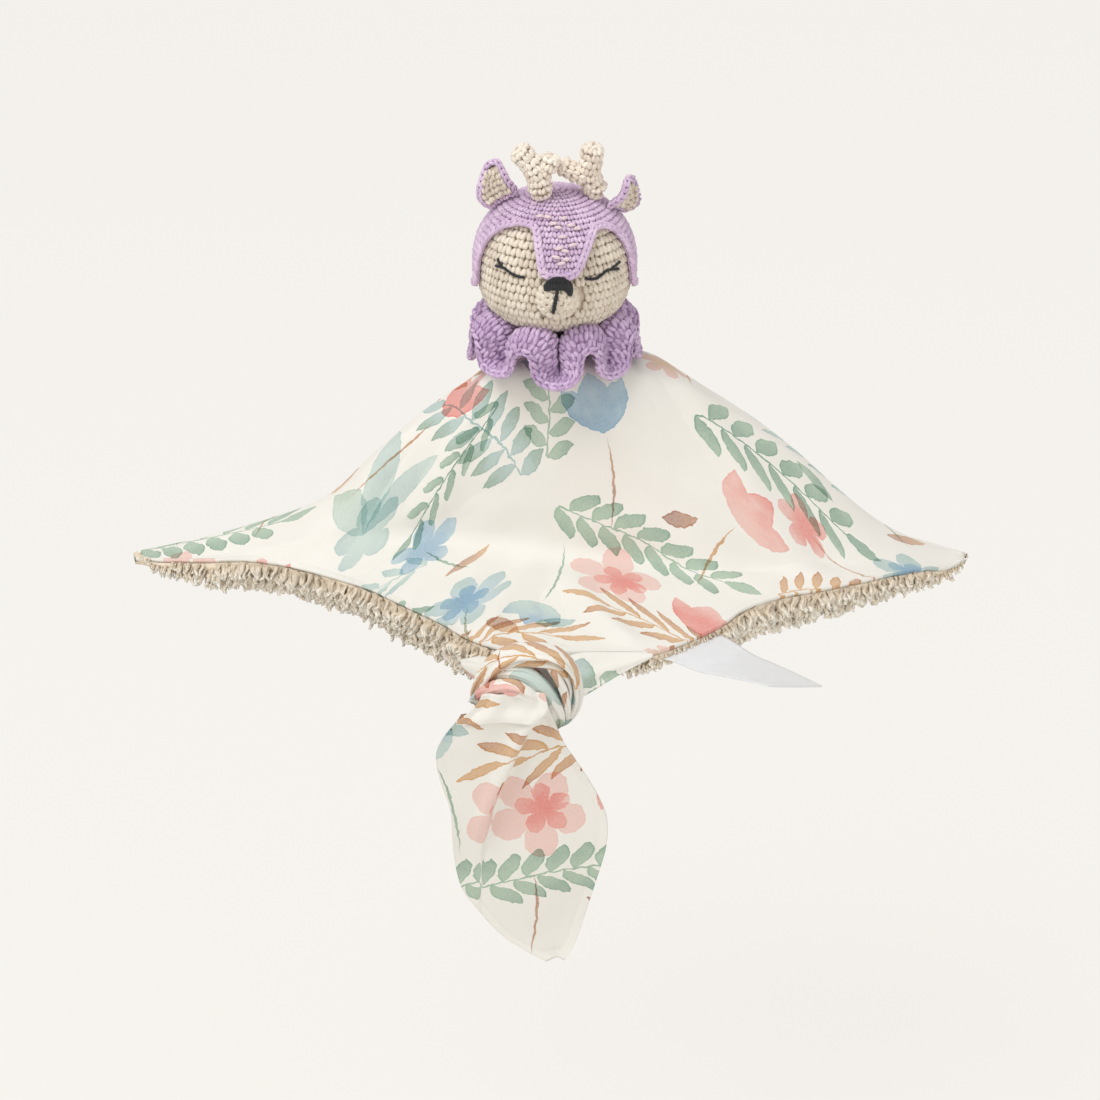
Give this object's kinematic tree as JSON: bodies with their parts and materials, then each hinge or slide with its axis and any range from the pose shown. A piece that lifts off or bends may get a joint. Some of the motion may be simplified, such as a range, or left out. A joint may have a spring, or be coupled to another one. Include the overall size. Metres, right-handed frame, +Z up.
{
  "type": "comfort blanket lovey",
  "caption": "Soft comfort blanket: a crocheted fawn's head with ears, antlers and a frilled collar, sewn to a draped two-layer cloth with a knotted corner and a side label.",
  "frame": {"origin": "on the flat underside of the cloth, under the middle of the neck, where a stand's top or a hand holds it up", "axes": "+Z up along the neck, the face towards -Y, +X to the viewer's right as one looks at the face"},
  "size_m": [0.4048, 0.2531, 0.3335],
  "materials": {
    "printed_cotton": "smooth woven cotton with a watercolour print",
    "teddy_plush": "long matt pile",
    "label_tape": "woven satin tape, bare",
    "lilac_yarn": "matt crocheted cotton yarn",
    "cream_yarn": "matt crocheted cotton yarn",
    "antler_yarn": "matt crocheted cotton yarn",
    "dark_thread": "matt embroidery thread",
    "stuffing": "loose polyester fibre"
  },
  "bodies": {
    "blanket": {"blanket_top": "printed_cotton", "blanket_backing": "teddy_plush", "corner_knot": "printed_cotton", "neck_base": "lilac_yarn", "collar_ruffle": "lilac_yarn"},
    "neck": {"neck_knit": "cream_yarn"},
    "neck_middle": {"neck_core": "stuffing"},
    "head": {"head_shell": "cream_yarn", "head_stuffing": "stuffing", "hood": "lilac_yarn", "muzzle": "cream_yarn", "nose": "dark_thread", "mouth_stitch": "dark_thread", "left_eye_stitch": "dark_thread", "right_eye_stitch": "dark_thread"},
    "left_ear": {"left_ear_outer": "lilac_yarn", "left_ear_lining": "cream_yarn"},
    "right_ear": {"right_ear_outer": "lilac_yarn", "right_ear_lining": "cream_yarn"},
    "left_antler": {"left_antler_stem": "antler_yarn", "left_antler_tine": "antler_yarn"},
    "right_antler": {"right_antler_stem": "antler_yarn", "right_antler_tine": "antler_yarn"},
    "tail": {"tail_print": "printed_cotton", "tail_plush": "teddy_plush"},
    "label": {"side_label": "label_tape"}
  },
  "joints": [
    {"name": "head_turn", "type": "hinge", "parent": "blanket", "child": "neck", "pos_m": [0, 0, 0.0235], "axis": [0, 0, 1], "range_deg": [-25, 25], "stiffness_Nm_per_rad": 0.4},
    {"name": "head_lean", "type": "hinge", "parent": "neck", "child": "neck_middle", "pos_m": [0, 0, 0.0235], "axis": [0, 1, 0], "range_deg": [-12, 12], "stiffness_Nm_per_rad": 0.8},
    {"name": "head_nod", "type": "hinge", "parent": "neck_middle", "child": "head", "pos_m": [0, 0, 0.0235], "axis": [1, 0, 0], "range_deg": [-15, 15], "stiffness_Nm_per_rad": 0.8, "deforming": ["collar_ruffle"]},
    {"name": "left_ear_bend", "type": "hinge", "parent": "head", "child": "left_ear", "pos_m": [-0.02419, -0.00085, 0.08728], "axis": [0.8317, -0.1768, 0.5263], "range_deg": [-20, 20], "stiffness_Nm_per_rad": 0.01},
    {"name": "right_ear_bend", "type": "hinge", "parent": "head", "child": "right_ear", "pos_m": [0.02873, -0.001, 0.08361], "axis": [0.6276, 0.5651, -0.5354], "range_deg": [-20, 20], "stiffness_Nm_per_rad": 0.01},
    {"name": "left_antler_flex", "type": "hinge", "parent": "head", "child": "left_antler", "pos_m": [-0.00654, -0.01089, 0.09459], "axis": [1, 0, 0], "range_deg": [-15, 15], "stiffness_Nm_per_rad": 0.02},
    {"name": "right_antler_flex", "type": "hinge", "parent": "head", "child": "right_antler", "pos_m": [0.01819, -0.00321, 0.0927], "axis": [1, 0, 0], "range_deg": [-15, 15], "stiffness_Nm_per_rad": 0.02},
    {"name": "tail_swing", "type": "hinge", "parent": "blanket", "child": "tail", "pos_m": [-0.011, -0.16635, -0.0955], "axis": [-1, 0, 0], "range_deg": [0, 45]},
    {"name": "label_flap", "type": "hinge", "parent": "blanket", "child": "label", "pos_m": [0.06196, -0.11277, -0.0885], "axis": [0.7519, 0.6593, 0], "range_deg": [-25, 25], "stiffness_Nm_per_rad": 0.02}
  ]
}
